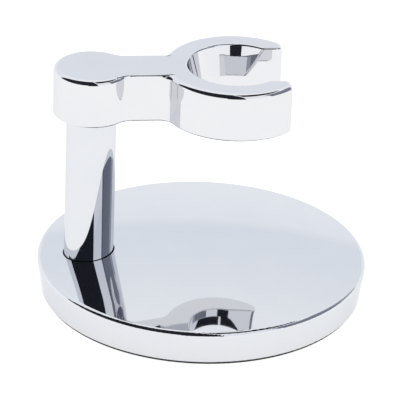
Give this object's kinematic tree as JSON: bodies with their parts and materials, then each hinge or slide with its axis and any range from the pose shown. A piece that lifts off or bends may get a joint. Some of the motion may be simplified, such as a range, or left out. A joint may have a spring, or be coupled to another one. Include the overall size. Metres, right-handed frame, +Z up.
{
  "type": "shaving brush stand",
  "caption": "Weighted round counter stand with one post and a fixed arm ending in an open ring that a shaving brush hangs from by its neck.",
  "frame": {"origin": "centre of the round base on the surface the stand rests on", "axes": "+Z up, +X from the post towards the ring's open end"},
  "size_m": [0.0996, 0.0996, 0.0746],
  "materials": {
    "chromed_casting": "mirror polished chrome plate",
    "chromed_tube": "mirror polished chrome plate",
    "black_foam": "matt closed-cell foam",
    "black_rubber": "matt moulded rubber",
    "adhesive_film": "translucent adhesive film",
    "grey_iron": "as cast, dipped against rust",
    "turned_steel": "turned bright steel",
    "zinc_plated_steel": "clear zinc plate",
    "fibre": "black vulcanised fibre"
  },
  "bodies": {
    "root": {"base_shell": "chromed_casting", "brush_arm": "chromed_casting", "post_tube": "chromed_tube", "foot_pad": "black_foam", "pad_adhesive": "adhesive_film", "post_seat_ring": "black_rubber", "ballast_disc": "grey_iron", "ballast_screws": "zinc_plated_steel", "ballast_washers": "zinc_plated_steel", "lower_plug": "turned_steel", "upper_plug": "turned_steel", "post_screw": "zinc_plated_steel", "post_washer": "zinc_plated_steel", "post_lock_washer": "zinc_plated_steel", "arm_stud": "zinc_plated_steel", "arm_washer": "fibre"}
  },
  "joints": []
}
